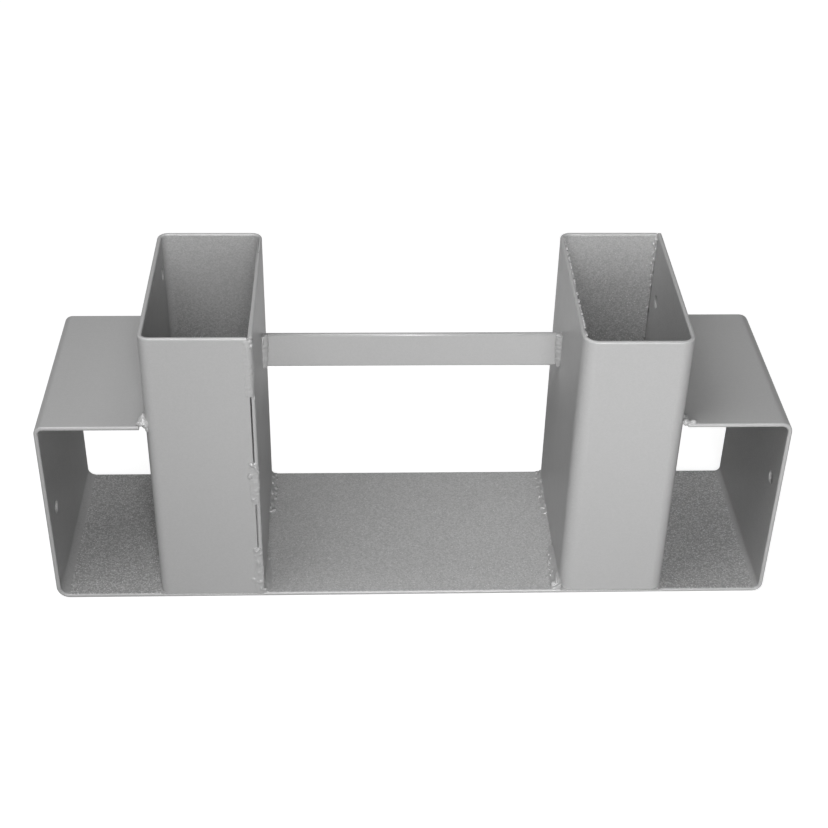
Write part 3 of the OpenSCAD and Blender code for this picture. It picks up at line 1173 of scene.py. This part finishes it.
@dataclass
class Studio:
    """Camera, lamps, pale floor and white surroundings."""

    eye: Vector = field(default_factory=lambda: Vector((-28.691, -601.228, 493.845)) * MM)
    yaw: float = math.radians(-2.818)
    pitch: float = math.radians(-34.956)
    roll: float = math.radians(-1.3217)
    focal_px: float = 1526.14
    frame_px: float = 828.0
    floor_size: float = 40.0
    floor_albedo: float = 0.35
    floor_glow: Pair = (0.86, 1.0)
    glow_from: Pair = (0.25, 0.7)
    # share of glow in reflections, rising from none near the bracket: painted shade for its shadow on the
    # floor
    floor_share: float = 0.45
    side_share: float = 0.6
    share_from: Pair = (0.1, 0.2)
    side_from: Pair = (0.6, 0.95)

    def build(self) -> None:
        """Set up everything that isn't the bracket."""
        self.camera()
        self.floor()
        self.world()
        for lamp in self.lamps():
            lamp.build()
        bpy.context.scene.view_settings.view_transform = "Standard"

    def camera(self) -> Object:
        """Place the camera at the photograph's viewpoint."""
        data = bpy.data.cameras.new("camera")
        data.lens = data.sensor_width * self.focal_px / self.frame_px
        data.clip_start = 0.01
        turn = (Matrix.Rotation(self.yaw, 4, "Z") @ Matrix.Rotation(self.pitch, 4, "X")
                @ Matrix.Rotation(self.roll, 4, "Y") @ Matrix.Rotation(math.pi / 2, 4, "X"))
        camera = bpy.data.objects.new("camera", data)
        camera.matrix_world = Matrix.Translation(self.eye) @ turn
        bpy.context.scene.collection.objects.link(camera)
        bpy.context.scene.camera = camera
        return camera

    def lamps(self) -> list[Lamp]:
        """The soft boxes."""
        return [
            self.lamp("front", (0.0, 27.0, 1.2), (0.3, 1.0), 10.2),
            self.lamp("over", (180.0, 80.0, 0.7), (0.4, 0.4), 1.05),
            self.lamp("left", (-60.0, 66.0, 0.7), (0.4, 0.4), 1.85),
            self.lamp("right", (0.0, 8.0, 0.7), (0.15, 0.3), 0.14, Vector((0.12, 0.0, 0.08)), 50.0),
        ]

    @staticmethod
    def lamp(name: str, way: tuple[float, float, float], size: Pair, power: float,
             aim: Vector = Vector((0.0, 0.0, 0.06)), spread: float = 180.0) -> Lamp:
        """Describe a lamp by its bearing and rise in degrees and its distance from its aim."""
        bearing, rise, distance = math.radians(way[0]), math.radians(way[1]), way[2]
        level = math.cos(rise)
        ray = Vector((math.sin(bearing) * level, -math.cos(bearing) * level, math.sin(rise)))
        return Lamp(name, aim + distance * ray, aim, size, power, math.radians(spread))

    def world(self) -> None:
        """White surroundings for the eye, of which sheets mirror only what stands at the sides."""
        world = bpy.data.worlds.new("surroundings")
        bpy.context.scene.world = world
        world.use_nodes = True
        tree = world.node_tree
        background = tree.nodes["Background"]
        background.inputs["Color"].default_value = (1.0, 1.0, 1.0, 1.0)
        across = self.axes(tree, "Generated")["X"]
        sideways = math_node(tree, "ABSOLUTE", across)
        share = self.ramp(tree, sideways, self.side_from, (0.0, self.side_share))
        tree.links.new(self.seen(tree, 1.0, share), background.inputs["Strength"])

    @staticmethod
    def axes(tree: ShaderNodeTree, source: str) -> bpy.types.bpy_prop_collection:
        """Split texture coordinates into X, Y and Z."""
        place = tree.nodes.new("ShaderNodeTexCoord")
        split = tree.nodes.new("ShaderNodeSeparateXYZ")
        tree.links.new(place.outputs[source], split.inputs["Vector"])
        return split.outputs

    @staticmethod
    def ramp(tree: ShaderNodeTree, value: NodeSocket, old: Pair,
             new: Pair) -> NodeSocket:
        """Map one range of values onto another with soft ends."""
        result = span_node(tree, value, old, new)
        result.node.interpolation_type = "SMOOTHSTEP"
        return result

    @staticmethod
    def seen(tree: ShaderNodeTree, looked_at: NodeSocket | float,
             mirrored: NodeSocket | float) -> NodeSocket:
        """Strength of what gives no light: one level for the eye and glass, another for reflections."""
        path = tree.nodes.new("ShaderNodeLightPath").outputs
        eye = math_node(tree, "MAXIMUM", path["Is Camera Ray"], path["Is Transmission Ray"])
        return math_node(tree, "ADD", math_node(tree, "MULTIPLY", eye, looked_at),
                         math_node(tree, "MULTIPLY", path["Is Glossy Ray"], mirrored))

    def floor(self) -> Object:
        """A pale floor that keeps the bracket's shadow and is white all round it."""
        bm = bmesh.new()
        bmesh.ops.create_grid(bm, x_segments=1, y_segments=1, size=self.floor_size / 2)
        mesh = bpy.data.meshes.new("floor")
        bm.to_mesh(mesh)
        bm.free()
        floor = bpy.data.objects.new("floor", mesh)
        floor.location.z = -0.05 * MM
        paint = bpy.data.materials.new("pale_floor")
        paint.use_nodes = True
        tree = paint.node_tree
        matt = tree.nodes["Principled BSDF"]
        matt.inputs["Base Color"].default_value = (*[self.floor_albedo] * 3, 1.0)
        matt.inputs["Roughness"].default_value = 0.9
        matt.inputs["Specular IOR Level"].default_value = 0.1
        matt.inputs["Emission Color"].default_value = (1.0, 1.0, 1.0, 1.0)
        place = tree.nodes.new("ShaderNodeTexCoord")
        away = tree.nodes.new("ShaderNodeVectorMath")
        away.operation = "LENGTH"
        tree.links.new(place.outputs["Object"], away.inputs[0])
        glow = self.ramp(tree, away.outputs["Value"], self.glow_from, self.floor_glow)
        # Sheets mirror the floor's glow only away from the bracket: painted shade in the reflected floor
        # near it, standing in for the bracket's shadow there
        back = math_node(tree, "ABSOLUTE", self.axes(tree, "Object")["Y"])
        share = self.ramp(tree, back, self.share_from, (0.0, self.floor_share))
        tree.links.new(self.seen(tree, glow, share), matt.inputs["Emission Strength"])
        mesh.materials.append(paint)
        bpy.context.scene.collection.objects.link(floor)
        return floor


def main() -> None:
    """Build the bracket's pieces in order, then the studio."""
    logging.basicConfig(level=logging.INFO, format="%(message)s")
    sizes = Sizes.read()
    finishes = Finishes.mix()
    BaseStrip(sizes, finishes.sheet).build()
    CrossBar(finishes.sheet).build()
    for side in Side:
        Upright(sizes, finishes.sheet, side=side).build()
        SeamBeads(side, sizes, finishes.weld).build()
        FilletBeads(side, sizes, finishes.weld).build()
        TabTack(side, sizes, finishes.weld).build()
    Studio().build()


if __name__ == "__main__":
    main()
